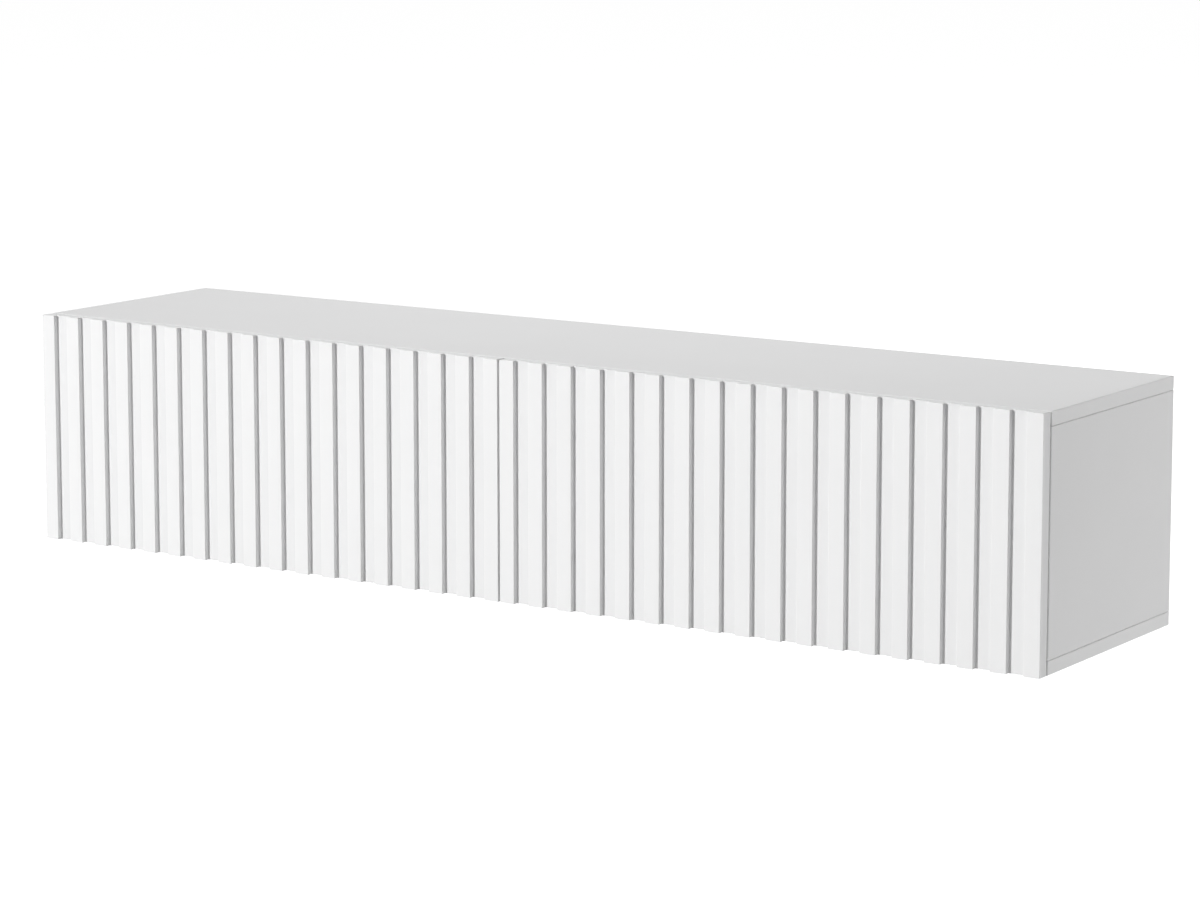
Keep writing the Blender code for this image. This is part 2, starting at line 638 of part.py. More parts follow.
def latch_housing(word, side):
    """A sleeve under the top panel, flat above and round below, with two ears."""
    middle = latch_x(side)
    top = CEILING_Z - JOINT_GAP
    outline = [(middle + LATCH_HALF_WIDTH, top), (middle - LATCH_HALF_WIDTH, top)]
    outline += arc((middle, LATCH_AXIS_Z), LATCH_HALF_WIDTH, 180, 360, 2 * ARC_STEPS)
    start = CARCASS_FRONT + JOINT_GAP
    end = start + LATCH_LENGTH
    made = node(f"{word}_latch_housing", prism(outline, "Y", start, end), WHITE_PLASTIC)
    ear_middle = (middle, start + LATCH_EAR_SETBACK)
    corners = centred(ear_middle, LATCH_EAR_WIDTH, LATCH_EAR_LENGTH)
    join(made, prism(rounded_rectangle(*corners, CORNER_RADIUS), "Z", top - LATCH_EAR_THICKNESS, top))
    mouth, bore_end = start - OVERRUN, end - LATCH_END_WALL
    cut(made, round_bar(PLUNGER_RADIUS + JOINT_GAP, "Y", (middle, LATCH_AXIS_Z), mouth, bore_end))
    for turn in (-1, 1):
        screw = (middle + turn * LATCH_EAR_WIDTH * SCREW_SPREAD_SHARE, ear_middle[1])
        cut(made, screw_hole("Z", screw, top - LATCH_EAR_THICKNESS, top))


def strike_rear_face():
    return FLAP_INNER_FACE + JOINT_GAP + STRIKE_THICKNESS


def latch_plunger(word, side):
    """A round plunger with a magnet tip, which follows the flap out of its sleeve."""
    middle = latch_x(side)
    tip = strike_rear_face() + JOINT_GAP
    tail = CARCASS_FRONT + JOINT_GAP + LATCH_LENGTH - LATCH_END_WALL - JOINT_GAP
    shoulder = tip + PLUNGER_TIP_LENGTH
    profile = [(PLUNGER_TIP_RADIUS, tip), (PLUNGER_TIP_RADIUS, shoulder), (PLUNGER_RADIUS, shoulder)]
    profile += [(PLUNGER_RADIUS, tail - SOFT_RADIUS), (PLUNGER_RADIUS - SOFT_RADIUS, tail)]
    mesh = turned(profile, "Y", (middle, LATCH_AXIS_Z))
    node(f"{word}_latch_plunger", mesh, GREY_PLASTIC, (middle, tip, LATCH_AXIS_Z))


def latch_strike(word, side, axis):
    middle = latch_x(side)
    start, end = FLAP_INNER_FACE + JOINT_GAP, strike_rear_face()
    profile = [(STRIKE_RADIUS, start), (STRIKE_RADIUS, end - SOFT_RADIUS), (STRIKE_RADIUS - SOFT_RADIUS, end)]
    mesh = turned(profile, "Y", (middle, LATCH_AXIS_Z))
    node(f"{word}_latch_strike", mesh, STEEL, (middle, start, LATCH_AXIS_Z), axis)


# %% Cabinet hangers
def hanger_housing(word, side):
    """A box in the bay's upper rear corner, slotted for the hook."""
    start, end = across(side, JOINT_GAP, JOINT_GAP + HANGER_WIDTH)
    rear = BACK_FRONT_FACE - JOINT_GAP
    top = CEILING_Z - JOINT_GAP
    outline = rounded_rectangle((rear - HANGER_LENGTH, top - HANGER_HEIGHT), (rear, top), CORNER_RADIUS)
    mesh = round_convex_edges(prism(outline, "X", start, end), SOFT_RADIUS)
    made = node(f"{word}_hanger_housing", mesh, WHITE_PLASTIC)
    line = stay_x(side, HOOK_LINE)
    half = HOOK_WIDTH / 2 + JOINT_GAP
    low = (rear - HOOK_REACH_IN - JOINT_GAP, HOOK_TOP - HOOK_THICKNESS - JOINT_GAP)
    high = (rear + OVERRUN, HOOK_TOP + JOINT_GAP)
    cut(made, prism(rectangle(low, high), "X", line - half, line + half))


def lip_rear_face():
    return REAR - WALL_PLATE_STEP


def hanger_hook(word, side):
    """A bent strap: it leaves the housing, passes the back panel and drops behind the wall plate's lip."""
    line = stay_x(side, HOOK_LINE)
    start = BACK_FRONT_FACE - JOINT_GAP - HOOK_REACH_IN
    inner = lip_rear_face() + JOINT_GAP
    outer = inner + HOOK_THICKNESS
    under = HOOK_TOP - HOOK_THICKNESS
    outline = [(start, under), (inner, under), (inner, under - HOOK_TONGUE), (outer, under - HOOK_TONGUE)]
    outline += arc((outer - HOOK_THICKNESS, HOOK_TOP - HOOK_THICKNESS), HOOK_THICKNESS, 0, 90)
    outline += [(start, HOOK_TOP)]
    half = HOOK_WIDTH / 2
    node(f"{word}_hanger_hook", prism(outline, "X", line - half, line + half), STEEL)


def wall_plate(word, side):
    """A cranked strip: flat on the wall below, and a raised lip above for the hook."""
    top = HOOK_TOP - HOOK_THICKNESS - JOINT_GAP
    crank = top - WALL_PLATE_LIP
    bottom = top - WALL_PLATE_HEIGHT
    lip = lip_rear_face()
    thickness = WALL_PLATE_THICKNESS
    mitre = thickness * math.tan(math.radians(45) / 2)
    outline = [(REAR, bottom), (REAR, crank - WALL_PLATE_STEP), (lip, crank), (lip, top)]
    outline += [(lip - thickness, top), (lip - thickness, crank + mitre)]
    outline += [(REAR - thickness, crank - WALL_PLATE_STEP + mitre), (REAR - thickness, bottom)]
    start, end = across(side, OVERRUN, OVERRUN + WALL_PLATE_WIDTH)
    made = node(f"{word}_wall_plate", prism(outline, "X", start, end), STEEL)
    for share in WALL_SCREW_SHARES:
        screw = (start + (end - start) * share, (bottom + crank - WALL_PLATE_STEP) / 2)
        cut(made, screw_hole("Y", screw, REAR - thickness, REAR))


# %% The whole cabinet
def half_cabinet(word, side):
    """Everything that comes once for each flap."""
    axis = pivot(f"{word}_flap_axis", (latch_x(side), AXIS_Y, AXIS_Z))
    flap_board(word, side, axis)
    hinges(word, side, axis)
    stay_side_plate(word, side)
    stay_brake_block(word, side)
    stay_rod(word, side, axis)
    stay_flap_bracket(word, side, axis)
    latch_housing(word, side)
    latch_plunger(word, side)
    latch_strike(word, side, axis)
    hanger_housing(word, side)
    hanger_hook(word, side)
    wall_plate(word, side)


carcass_boards()
back_panel()
half_cabinet("left", -1)
half_cabinet("right", 1)
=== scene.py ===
# %% [markdown]
# # A wall-hung media cabinet with two ribbed flaps
#
# The cabinet is a long, low box of white board. Two milled fronts cover it, and each one
# folds down on hidden hinges. The measured solids come from the frame, which is loaded
# first. This lesson gives them their finishes, mills the fronts, softens the edges of
# the fittings, adds the screws and caps that a joiner would see on opening a flap, and
# sets up the light and the camera.

# %% Load the frame
import json
import math

import bmesh
import bpy
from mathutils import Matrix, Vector

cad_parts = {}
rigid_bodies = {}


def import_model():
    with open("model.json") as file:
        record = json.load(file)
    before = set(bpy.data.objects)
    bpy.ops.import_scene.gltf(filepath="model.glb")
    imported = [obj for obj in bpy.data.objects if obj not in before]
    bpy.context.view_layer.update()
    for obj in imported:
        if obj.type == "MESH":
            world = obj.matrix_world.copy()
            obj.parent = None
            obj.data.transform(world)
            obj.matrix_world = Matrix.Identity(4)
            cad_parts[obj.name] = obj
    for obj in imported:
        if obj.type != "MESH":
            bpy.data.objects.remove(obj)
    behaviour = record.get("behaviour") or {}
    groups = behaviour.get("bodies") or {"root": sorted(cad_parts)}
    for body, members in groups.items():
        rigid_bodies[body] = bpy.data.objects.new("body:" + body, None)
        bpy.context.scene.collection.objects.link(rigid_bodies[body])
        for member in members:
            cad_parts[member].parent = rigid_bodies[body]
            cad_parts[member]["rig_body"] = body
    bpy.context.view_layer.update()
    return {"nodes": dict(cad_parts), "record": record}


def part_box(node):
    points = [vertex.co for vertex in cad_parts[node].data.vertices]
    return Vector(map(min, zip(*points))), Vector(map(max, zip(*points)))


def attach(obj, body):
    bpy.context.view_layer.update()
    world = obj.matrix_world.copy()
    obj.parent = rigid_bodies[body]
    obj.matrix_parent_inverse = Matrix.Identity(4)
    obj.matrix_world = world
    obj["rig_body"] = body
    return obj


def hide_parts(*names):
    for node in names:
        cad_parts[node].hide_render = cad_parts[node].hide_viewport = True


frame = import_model()

# %% [markdown]
# ## The camera
#
# The picture was taken from the front right with a long lens, from a little above the
# top panel. A camera is best placed before anything is dressed, because every later
# choice is judged through it. It looks down by about eight degrees. Shifting the picture
# a little lets it tilt less than it otherwise would, which keeps the ends of the cabinet
# closer to upright.

# %% Camera
CAMERA_PLACE = (2.4391, -3.6156, 0.9080)
CAMERA_YAW = math.radians(33.6249)
CAMERA_PITCH = math.radians(7.9247)
LENS_MM = 111.377
SENSOR_MM = 36.0
PICTURE_SHIFT = -0.1
NEAREST_SEEN = 0.05
FARTHEST_SEEN = 200.0


def new_object(name, data):
    """An object at the origin of the scene, with its mesh, lamp or camera."""
    made = bpy.data.objects.new(name, data)
    bpy.context.scene.collection.objects.link(made)
    return made


camera_data = bpy.data.cameras.new("product_camera")
camera_data.lens = LENS_MM
camera_data.sensor_width = SENSOR_MM
camera_data.shift_y = PICTURE_SHIFT
camera_data.clip_start = NEAREST_SEEN
camera_data.clip_end = FARTHEST_SEEN
camera = new_object("product_camera", camera_data)
camera.location = CAMERA_PLACE
camera.rotation_euler = (math.pi / 2 - CAMERA_PITCH, 0, CAMERA_YAW)
bpy.context.scene.camera = camera
print("camera set,", round(camera.location.length, 2), "m from the cabinet")

# %% [markdown]
# ## Node materials from small helpers
#
# Blender's materials are graphs of nodes, and so are its Geometry Nodes. Writing every
# node out by hand is long, so the first helpers add a node, join two sockets and do a
# sum, in either kind of graph. The others each do one step of a material, such as drawing
# a noise or blending two colours. All patterns read Object coordinates. Those are metres
# here, because each piece sits at the origin with its place in its mesh.

# %% Helpers for nodes
def add_node(owner, kind, inputs=None, **settings):
    """One node; inputs maps a socket's name or number to a value or to a socket."""
    tree = getattr(owner, "node_tree", owner)
    made = tree.nodes.new(kind)
    for key, value in settings.items():
        setattr(made, key, value)
    for key, value in (inputs or {}).items():
        if isinstance(value, bpy.types.NodeSocket):
            tree.links.new(value, made.inputs[key])
        else:
            made.inputs[key].default_value = value
    return made


def link(owner, source, target):
    """Joins the socket source to the socket target."""
    getattr(owner, "node_tree", owner).links.new(source, target)


def maths(owner, operation, *values):
    """The result of a sum with one or two values, each a number or a socket."""
    return add_node(owner, "ShaderNodeMath", dict(enumerate(values)), operation=operation).outputs[0]


print("node helpers ready, for materials and for Geometry Nodes")

# %% Helpers for patterns
NOISE_LOW = 0.3
NOISE_HIGH = 0.7


def start_material(name, metallic=0.0, specular=0.5):
    """A material with its shader, and the object's own coordinates to draw on."""
    made = bpy.data.materials.new(name)
    made.use_nodes = True
    shader = made.node_tree.nodes["Principled BSDF"]
    shader.inputs["Metallic"].default_value = metallic
    shader.inputs["Specular IOR Level"].default_value = specular
    return made, shader, add_node(made, "ShaderNodeTexCoord")


def noise(material, place, scale, detail, stretch=(1, 1, 1)):
    """Smooth random values, scale of them to a metre; detail is how many finer layers it adds."""
    sized = add_node(material, "ShaderNodeMapping", {"Vector": place.outputs["Object"], "Scale": stretch})
    made = add_node(material, "ShaderNodeTexNoise",
                    {"Vector": sized.outputs[0], "Scale": scale, "Detail": detail})
    return made.outputs["Fac"]


def spread(material, value, low, high):
    """Maps a noise, which mostly stays between NOISE_LOW and NOISE_HIGH, to low and high."""
    ranged = add_node(material, "ShaderNodeMapRange",
                      {"Value": value, "From Min": NOISE_LOW, "From Max": NOISE_HIGH,
                       "To Min": low, "To Max": high})
    return ranged.outputs["Result"]


def blend_colours(material, factor, first, second):
    """first where factor is 0 and second where it is 1, each a colour or a socket."""
    inputs = {"Factor": factor}
    for label, colour in (("A", first), ("B", second)):
        inputs[label] = colour if isinstance(colour, bpy.types.NodeSocket) else (*colour, 1)
    return add_node(material, "ShaderNodeMix", inputs, data_type="RGBA").outputs["Result"]


def mottled(material, value, dark, light):
    """A colour that follows a noise from dark to light."""
    return blend_colours(material, spread(material, value, 0, 1), dark, light)


print("pattern helpers ready")

# %% Helpers for surfaces
FACE_LIMIT = 0.5


def paint(material, shader, colour):
    """Gives the shader its colour, from a socket."""
    link(material, colour, shader.inputs["Base Color"])


def roughen(material, shader, value, low, high):
    """Roughness that follows a noise from low to high, with the middle as its plain value."""
    shader.inputs["Roughness"].default_value = (low + high) / 2
    link(material, spread(material, value, low, high), shader.inputs["Roughness"])


def bump(material, shader, height, depth):
    """Relief that follows a height, and depth is what a height of 1 stands for, in metres."""
    made = add_node(material, "ShaderNodeBump", {"Height": height, "Distance": depth})
    link(material, made.outputs["Normal"], shader.inputs["Normal"])


def face_or_edge(material, place, thin_axis, face, edge):
    """One colour for the two large faces, which look along thin_axis, and one for the edges."""
    split = add_node(material, "ShaderNodeSeparateXYZ", {"Vector": place.outputs["Normal"]})
    across = maths(material, "ABSOLUTE", split.outputs[thin_axis])
    is_face = maths(material, "GREATER_THAN", across, FACE_LIMIT)
    return blend_colours(material, is_face, edge, face)


print("surface helpers ready")

# %% [markdown]
# ## White satin lacquer on the milled fronts
#
# The fronts are fibreboard, milled with upright grooves and sprayed. Sprayed lacquer is
# never quite flat: it sets with a fine orange peel a few millimetres across. That is
# drawn with noise at two sizes in a Bump node. A very faint cloudiness in the colour
# stands for the uneven spray, and small changes of roughness break up the shine. The
# colour also goes a little greyer with depth into each groove: that is painted shade,
# where the walls of the groove keep light out.

# %% Lacquer
GROOVE_DEPTH = 0.0065
RIB_FACE_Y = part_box("left_flap_board")[0].y
LACQUER_DARK = (0.890, 0.891, 0.892)
LACQUER_LIGHT = (0.904, 0.905, 0.906)
# The grey below is painted shade: the lacquer turns to it at the floor of a groove.
GROOVE_PAINTED_SHADE = (0.833, 0.834, 0.836)
PEEL_DEPTH = 0.00002


def lacquer(name):
    made, shader, place = start_material(name, specular=0.4)
    cloud = noise(made, place, scale=7, detail=3)
    split = add_node(made, "ShaderNodeSeparateXYZ", {"Vector": place.outputs["Object"]})
    depth = add_node(made, "ShaderNodeMapRange", {"Value": split.outputs["Y"], "From Min": RIB_FACE_Y,
                                                  "From Max": RIB_FACE_Y + GROOVE_DEPTH})
    sprayed = mottled(made, cloud, LACQUER_DARK, LACQUER_LIGHT)
    # Painted shade: the colour is blended towards the darker grey with depth into a groove.
    paint(made, shader, blend_colours(made, depth.outputs["Result"], sprayed, GROOVE_PAINTED_SHADE))
    peel = noise(made, place, scale=420, detail=2)
    dust = noise(made, place, scale=2600, detail=1)
    roughen(made, shader, dust, low=0.56, high=0.64)
    bump(made, shader, maths(made, "ADD", peel, dust), PEEL_DEPTH)
    return made


white_lacquer = lacquer("white_satin_lacquer")
print("lacquer made")

# %% [markdown]
# ## Melamine-faced board
#
# The carcass is chipboard with a skin of white melamine, pressed on by textured steel
# sheets. They leave a fine pearl grain that takes the shine off. The sawn edges are
# covered with a thin plastic band, which is a touch lighter. The object's normal tells
# the shader which faces are edges, so one function serves boards that lie flat and
# boards that stand.

# %% Board
MELAMINE_DARK = (0.872, 0.872, 0.873)
MELAMINE_LIGHT = (0.886, 0.886, 0.887)
BAND_COLOUR = (0.903, 0.903, 0.903)
PEARL_DEPTH = 0.00003


def melamine(name, thin_axis):
    """thin_axis is the axis through the board: its two large faces look along it."""
    made, shader, place = start_material(name, specular=0.4)
    cloud = noise(made, place, scale=5, detail=2)
    skin = mottled(made, cloud, MELAMINE_DARK, MELAMINE_LIGHT)
    paint(made, shader, face_or_edge(made, place, thin_axis, skin, BAND_COLOUR))
    pearl = noise(made, place, scale=1500, detail=2)
    roughen(made, shader, pearl, low=0.68, high=0.76)
    bump(made, shader, pearl, PEARL_DEPTH)
    return made


flat_board = melamine("white_board_lying", "Z")
upright_board = melamine("white_board_standing", "X")
print("board finishes made")

# %% [markdown]
# ## Hardboard
#
# The back is a thin sheet of hardboard, painted white: its fibres show as a soft,
# slightly stretched mottle. Where a hole is cut, the raw brown fibre shows on the rim.
# The object's normal tells the two apart, as it did for the edge bands.

# %% Hardboard
PAINTED_DARK = (0.775, 0.772, 0.762)
PAINTED_LIGHT = (0.812, 0.810, 0.802)
RAW_FIBRE = (0.42, 0.31, 0.21)
FIBRE_DEPTH = 0.00008


def hardboard(name):
    made, shader, place = start_material(name, specular=0.3)
    fibre = noise(made, place, scale=160, detail=4, stretch=(1, 1, 0.35))
    painted = mottled(made, fibre, PAINTED_DARK, PAINTED_LIGHT)
    paint(made, shader, face_or_edge(made, place, "Y", painted, RAW_FIBRE))
    roughen(made, shader, fibre, low=0.62, high=0.78)
    bump(made, shader, fibre, FIBRE_DEPTH)
    return made


white_hardboard = hardboard("white_hardboard")
print("hardboard made")

# %% [markdown]
# ## Metal and plastic
#
# The hinges are nickel-plated zinc castings, smooth with a little pitting. Plates, rods
# and hooks are zinc-plated steel, which has a fine grain from rolling and a faint blue
# and yellow tint. Both are one function with other numbers, because a plated metal is
# always a grain that shows in the colour, the shine and the relief. The plastic parts
# come from moulds with a spark-eroded texture, so they are dull and finely pitted.

# %% Metals
def plated_metal(name, dull, bright, low, high, grain, depth, stretch=(1, 1, 1)):
    """dull to bright is its colour, low to high its roughness, and depth that of the grain."""
    made, shader, place = start_material(name, metallic=1.0)
    streak = noise(made, place, scale=grain, detail=3, stretch=stretch)
    paint(made, shader, mottled(made, streak, dull, bright))
    tarnish = noise(made, place, scale=60, detail=2)
    halved = maths(made, "MULTIPLY", maths(made, "ADD", streak, tarnish), 0.5)
    roughen(made, shader, halved, low, high)
    bump(made, shader, streak, depth)
    return made


nickel = plated_metal("nickel_plated_zinc", dull=(0.60, 0.59, 0.57), bright=(0.70, 0.69, 0.67),
                      low=0.26, high=0.38, grain=900, depth=0.00001)
zinc_steel = plated_metal("zinc_plated_steel", dull=(0.40, 0.42, 0.45), bright=(0.53, 0.53, 0.52),
                          low=0.28, high=0.42, grain=700, depth=0.00001, stretch=(0.15, 1, 1))
screw_steel = plated_metal("screw_steel", dull=(0.42, 0.43, 0.45), bright=(0.54, 0.54, 0.55),
                           low=0.24, high=0.36, grain=1500, depth=0.000006)
print("metals made")

# %% Plastics
SPARK_DEPTH = 0.00002


def moulded_plastic(name, dark, light):
    made, shader, place = start_material(name, specular=0.45)
    flow = noise(made, place, scale=40, detail=2)
    paint(made, shader, mottled(made, flow, dark, light))
    spark = noise(made, place, scale=2200, detail=2)
    roughen(made, shader, spark, low=0.4, high=0.52)
    bump(made, shader, spark, SPARK_DEPTH)
    return made


grey_plastic = moulded_plastic("grey_moulded_plastic", dark=(0.50, 0.51, 0.52),
                               light=(0.57, 0.58, 0.59))
white_plastic = moulded_plastic("white_moulded_plastic", dark=(0.81, 0.81, 0.80),
                                light=(0.85, 0.85, 0.84))
print("plastics made")

# %% [markdown]
# ## Giving the finishes to the frame
#
# A CAD node keeps its shape. Only the material in its slot is exchanged. The boards
# that lie flat and the boards that stand get the two versions of the board finish, so
# that the edge band comes out on the right faces.

# %% Finishes on the frame
SLOT_FINISHES = {
    "white_lacquer": white_lacquer,
    "white_hardboard": white_hardboard,
    "zinc": nickel,
    "steel": zinc_steel,
    "grey_plastic": grey_plastic,
    "white_plastic": white_plastic,
}
LYING_BOARDS = ("top_panel", "bottom_panel")
node_slots = {row["node"]: row["material_slot"] for row in frame["record"]["subparts"]}
for name, cad_node in frame["nodes"].items():
    if node_slots[name] == "white_board":
        finish = flat_board if name in LYING_BOARDS else upright_board
    else:
        finish = SLOT_FINISHES[node_slots[name]]
    for material_slot in cad_node.material_slots:
        material_slot.material = finish
print("finishes given to", len(frame["nodes"]), "nodes")

# %% [markdown]
# ## Geometry Nodes with named inputs
#
# What repeats on this cabinet, the ribs, the screws and the caps, is grown by Geometry
# Nodes. Both trees start and end alike, so three helpers serve both. One starts a tree
# with named inputs. One ends it: the copies are made real and take their finish, because
# a copy that is only an instance is lost when a model is exported. One puts a tree on an
# object. A modifier knows its inputs by an identifier and not by their name, so the
# helper looks the identifier up. Four more helpers do what all later meshes need: they
# turn built data into a mesh, work the modifiers in, shade it, and cut one shape from
# another.

# %% Helpers for Geometry Nodes
def start_tree(name, sockets):
    """A tree with inputs, given as (label, kind), and the sockets at its two ends."""
    tree = bpy.data.node_groups.new(name, "GeometryNodeTree")
    for label, kind in sockets:
        tree.interface.new_socket(label, in_out="INPUT", socket_type=f"NodeSocket{kind}")
    tree.interface.new_socket("Result", in_out="OUTPUT", socket_type="NodeSocketGeometry")
    return tree, tree.nodes.new("NodeGroupInput").outputs, tree.nodes.new("NodeGroupOutput").inputs


def end_tree(tree, geometry, finish, result):
    """Makes the copies real, gives them their finish and hands them over."""
    real = add_node(tree, "GeometryNodeRealizeInstances", {"Geometry": geometry})
    painted = add_node(tree, "GeometryNodeSetMaterial", {"Geometry": real.outputs[0], "Material": finish})
    link(tree, painted.outputs[0], result[0])


def grow(made, tree, values):
    """Puts the tree on an object, with values for its named inputs."""
    grower = made.modifiers.new(tree.name, "NODES")
    grower.node_group = tree
    for item in tree.interface.items_tree:
        if item.name in values:
            grower[item.identifier] = values[item.name]


print("tree helpers ready")

# %% Helpers for meshes
EDGE_ANGLE = math.radians(32)


def mesh_from(name, build):
    """Turns mesh data being built into a mesh."""
    data = bpy.data.meshes.new(name)
    build.to_mesh(data)
    build.free()
    return data


def plain_mesh(made):
    """The object's mesh with its modifiers worked in."""
    ready = made.evaluated_get(bpy.context.evaluated_depsgraph_get())
    return bpy.data.meshes.new_from_object(ready)


def shade(data):
    """Smooth shading, broken where two faces meet at a clear angle."""
    data.shade_smooth()
    data.set_sharp_from_angle(angle=EDGE_ANGLE)


def subtract(made, cutter):
    """Cuts one object's shape from another."""
    cut = made.modifiers.new(cutter.name, "BOOLEAN")
    cut.operation = "DIFFERENCE"
    cut.solver = "EXACT"
    cut.object = cutter


print("mesh helpers ready")

# %% [markdown]
# ## The milled fronts
#
# Each front starts as a plain board. A cutter runs up it seventeen times and leaves
# eighteen ribs. An Array modifier could repeat the cut, but the two outer ribs have to
# end flush with the board, so the spacing has to follow from the width. The tree works
# it out from named sizes and subtracts the cutters. Where two faces then meet at a clear
# outward angle, the edge gets a bevel weight. A Bevel modifier eases those edges and
# leaves the inner corners of the grooves sharp, as a real cutter does.

# %% The tree for a ribbed front
FRONT_SIZES = ("Width", "Thickness", "Height", "Rib Width", "Groove Depth")
OUTER_EDGE_ANGLE = math.radians(30)


def vector(tree, x, y, z):
    return add_node(tree, "ShaderNodeCombineXYZ", {"X": x, "Y": y, "Z": z}).outputs[0]


def block(tree, x, y, z):
    """A box of three sizes about the origin."""
    return add_node(tree, "GeometryNodeMeshCube", {"Size": vector(tree, x, y, z)}).outputs["Mesh"]


def from_corner(tree, corner, x, y, z):
    """The place that lies x, y and z away from the corner."""
    inputs = {0: corner, 1: vector(tree, x, y, z)}
    return add_node(tree, "ShaderNodeVectorMath", inputs, operation="ADD").outputs[0]


def ribbed_front_tree():
    sockets = [("Corner", "Vector"), ("Ribs", "Int"), ("Finish", "Material")]
    sockets += [(label, "Float") for label in FRONT_SIZES]
    tree, given, result = start_tree("ribbed_front", sockets)
    width, thickness, height, rib, depth = (given[label] for label in FRONT_SIZES)
    half_height = maths(tree, "DIVIDE", height, 2)
    halves = (maths(tree, "DIVIDE", width, 2), maths(tree, "DIVIDE", thickness, 2), half_height)
    middle = from_corner(tree, given["Corner"], *halves)
    board = add_node(tree, "GeometryNodeTransform",
                     {"Geometry": block(tree, width, thickness, height), "Translation": middle})
    grooves = maths(tree, "SUBTRACT", given["Ribs"], 1)
    pitch = maths(tree, "DIVIDE", maths(tree, "SUBTRACT", width, rib), grooves)
    opening = maths(tree, "SUBTRACT", pitch, rib)
    cutter = block(tree, opening, maths(tree, "MULTIPLY", depth, 2), maths(tree, "MULTIPLY", height, 2))
    first_x = maths(tree, "ADD", rib, maths(tree, "DIVIDE", opening, 2))
    first = from_corner(tree, given["Corner"], first_x, 0, half_height)
    row = add_node(tree, "GeometryNodeMeshLine",
                   {"Count": grooves, "Start Location": first, "Offset": vector(tree, pitch, 0, 0)},
                   mode="OFFSET")
    cutters = add_node(tree, "GeometryNodeInstanceOnPoints",
                       {"Points": row.outputs[0], "Instance": cutter})
    milled = add_node(tree, "GeometryNodeMeshBoolean",
                      {"Mesh 1": board.outputs[0], "Mesh 2": cutters.outputs[0]},
                      operation="DIFFERENCE", solver="EXACT")
    angle = add_node(tree, "GeometryNodeInputMeshEdgeAngle")
    is_outer = maths(tree, "GREATER_THAN", angle.outputs["Signed Angle"], OUTER_EDGE_ANGLE)
    marked = add_node(tree, "GeometryNodeStoreNamedAttribute",
                      {"Geometry": milled.outputs[0], "Name": "bevel_weight_edge", "Value": is_outer},
                      data_type="FLOAT", domain="EDGE")
    end_tree(tree, marked.outputs[0], given["Finish"], result)
    return tree


ribbed_front_nodes = ribbed_front_tree()
print("the tree for a front has", len(ribbed_front_nodes.nodes), "nodes")

# %% [markdown]
# ## Pockets for the hinges
#
# Behind the third rib from each end the board is as thick as it gets, so the hinges are
# let in there. A router leaves a slot with round upper corners, open at the board's
# lower edge. Two slots differ only in their place, which comes from the hinge that sits
# in them, so they are cut with a Boolean modifier each and not by the tree. After a
# Boolean a Weighted Normal modifier keeps the large faces flat and the eased edges round.
# Then the front is put on the body that it moves with, and the plain board that it stands
# for is hidden.

# %% The cutter for a pocket
POCKET_HALF_WIDTH = 0.0067
POCKET_HEIGHT = 0.0252
POCKET_CORNER = 0.005
POCKET_CORNER_STEPS = 6
CUT_OVERRUN = 0.002
QUARTER_TURN = math.pi / 2


def pocket_outline(x):
    """A slot seen from behind: straight below, with a quarter circle at each upper corner."""
    outline = [(x - POCKET_HALF_WIDTH, -CUT_OVERRUN), (x + POCKET_HALF_WIDTH, -CUT_OVERRUN)]
    for side, start in ((1, 0), (-1, QUARTER_TURN)):
        corner_x = x + side * (POCKET_HALF_WIDTH - POCKET_CORNER)
        for step in range(POCKET_CORNER_STEPS + 1):
            angle = start + QUARTER_TURN * step / POCKET_CORNER_STEPS
            outline.append((corner_x + POCKET_CORNER * math.cos(angle),
                            POCKET_HEIGHT - POCKET_CORNER + POCKET_CORNER * math.sin(angle)))
    return outline


def pocket_cutter(name, x, floor_y, rear_y):
    """The outline drawn out from the pocket's floor to a little behind the board."""
    build = bmesh.new()
    face = build.faces.new([build.verts.new((u, floor_y, v)) for u, v in pocket_outline(x)])
    drawn = bmesh.ops.extrude_face_region(build, geom=[face])["geom"]
    moved = [item for item in drawn if isinstance(item, bmesh.types.BMVert)]
    bmesh.ops.translate(build, verts=moved, vec=(0, rear_y + CUT_OVERRUN - floor_y, 0))
    bmesh.ops.recalc_face_normals(build, faces=build.faces)
    return new_object(name, mesh_from(name, build))


print("a pocket is", 2 * POCKET_HALF_WIDTH, "m wide")

# %% The fronts
RIBS = 18
RIB_WIDTH = 0.0198
FRONT_EASING = 0.0006
FRONT_EASING_STEPS = 3
HINGE_CLEARANCE = 0.0003
SIDES = ("left", "right")
HINGE_PLACES = ("outer", "inner")


def ribbed_front(word):
    """The front of the left or right flap, which stands for the plain board of the frame."""
    low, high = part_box(f"{word}_flap_board")
    front = new_object(f"{word}_ribbed_front", bpy.data.meshes.new("blank"))
    grow(front, ribbed_front_nodes, {
        "Corner": tuple(low), "Width": high.x - low.x, "Thickness": high.y - low.y,
        "Height": high.z - low.z, "Ribs": RIBS, "Rib Width": RIB_WIDTH,
        "Groove Depth": GROOVE_DEPTH, "Finish": white_lacquer})
    easing = front.modifiers.new("eased_edges", "BEVEL")
    easing.width = FRONT_EASING
    easing.segments = FRONT_EASING_STEPS
    easing.limit_method = "WEIGHT"
    cutters = []
    for place in HINGE_PLACES:
        housing_low, housing_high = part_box(f"{word}_flap_{place}_hinge_housing")
        x = (housing_low.x + housing_high.x) / 2
        cutters.append(pocket_cutter(f"{place}_pocket", x, housing_low.y - HINGE_CLEARANCE, high.y))
        subtract(front, cutters[-1])
    front.data = plain_mesh(front)
    front.modifiers.clear()
    for cutter in cutters:
        bpy.data.objects.remove(cutter)
    shade(front.data)
    flatness = front.modifiers.new("flat_faces_stay_flat", "WEIGHTED_NORMAL")
    flatness.keep_sharp = True
    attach(front, f"{word}_flap")
    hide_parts(f"{word}_flap_board")
    print(front.name, "has", RIBS, "ribs and", len(front.data.polygons), "faces")


